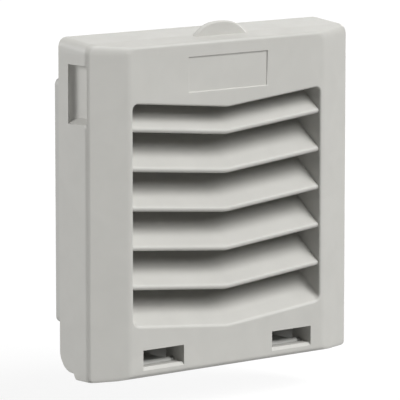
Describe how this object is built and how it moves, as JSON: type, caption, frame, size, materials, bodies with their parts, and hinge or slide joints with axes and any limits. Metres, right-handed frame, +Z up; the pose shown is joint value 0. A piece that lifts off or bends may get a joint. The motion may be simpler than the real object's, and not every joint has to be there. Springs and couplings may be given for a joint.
{
  "type": "cabinet exhaust filter",
  "caption": "Square louvred exhaust filter for an electrical cabinet, with a tilting chevron-slat cover, mat, guard grid and sprung corner latches.",
  "frame": {"origin": "centre of the square cut-out, in the plane of the cabinet panel's outer face", "axes": "+X to the right along the panel as seen from outside, +Y through the panel into the cabinet, +Z up"},
  "size_m": [0.1484, 0.0441, 0.1524],
  "materials": {
    "cover_grey": "fine moulded texture, light grey",
    "frame_grey": "moulded, light grey",
    "latch_grey": "smooth acetal, grey",
    "gasket_foam": "closed-cell foam, black",
    "filter_fleece": "dark grey synthetic fleece",
    "pin_steel": "bright drawn steel"
  },
  "bodies": {
    "frame": {"mounting_frame": "frame_grey", "guard_grid": "frame_grey", "flange_gasket": "gasket_foam", "filter_mat": "filter_fleece", "latch_pin_upper_left": "pin_steel", "latch_pin_lower_left": "pin_steel", "latch_pin_upper_right": "pin_steel", "latch_pin_lower_right": "pin_steel"},
    "cover": {"cover_shell": "cover_grey", "louvre_slat_1": "cover_grey", "louvre_slat_2": "cover_grey", "louvre_slat_3": "cover_grey", "louvre_slat_4": "cover_grey", "louvre_slat_5": "cover_grey"},
    "latch_upper_left": {"corner_latch_upper_left": "latch_grey"},
    "latch_lower_left": {"corner_latch_lower_left": "latch_grey"},
    "latch_upper_right": {"corner_latch_upper_right": "latch_grey"},
    "latch_lower_right": {"corner_latch_lower_right": "latch_grey"}
  },
  "joints": [
    {"name": "cover_hinge", "type": "hinge", "parent": "frame", "child": "cover", "pos_m": [0, -0.017, -0.07005], "axis": [1, 0, 0], "range_deg": [0, 95]},
    {"name": "latch_upper_left_pivot", "type": "hinge", "parent": "frame", "child": "latch_upper_left", "pos_m": [-0.0598, 0.0133, 0.057], "axis": [0, 0, 1], "range_deg": [0, 12], "stiffness_Nm_per_rad": 0.05},
    {"name": "latch_lower_left_pivot", "type": "hinge", "parent": "frame", "child": "latch_lower_left", "pos_m": [-0.0598, 0.0133, -0.057], "axis": [0, 0, 1], "range_deg": [0, 12], "stiffness_Nm_per_rad": 0.05},
    {"name": "latch_upper_right_pivot", "type": "hinge", "parent": "frame", "child": "latch_upper_right", "pos_m": [0.0598, 0.0133, 0.057], "axis": [0, 0, -1], "range_deg": [0, 12], "stiffness_Nm_per_rad": 0.05},
    {"name": "latch_lower_right_pivot", "type": "hinge", "parent": "frame", "child": "latch_lower_right", "pos_m": [0.0598, 0.0133, -0.057], "axis": [0, 0, -1], "range_deg": [0, 12], "stiffness_Nm_per_rad": 0.05}
  ]
}
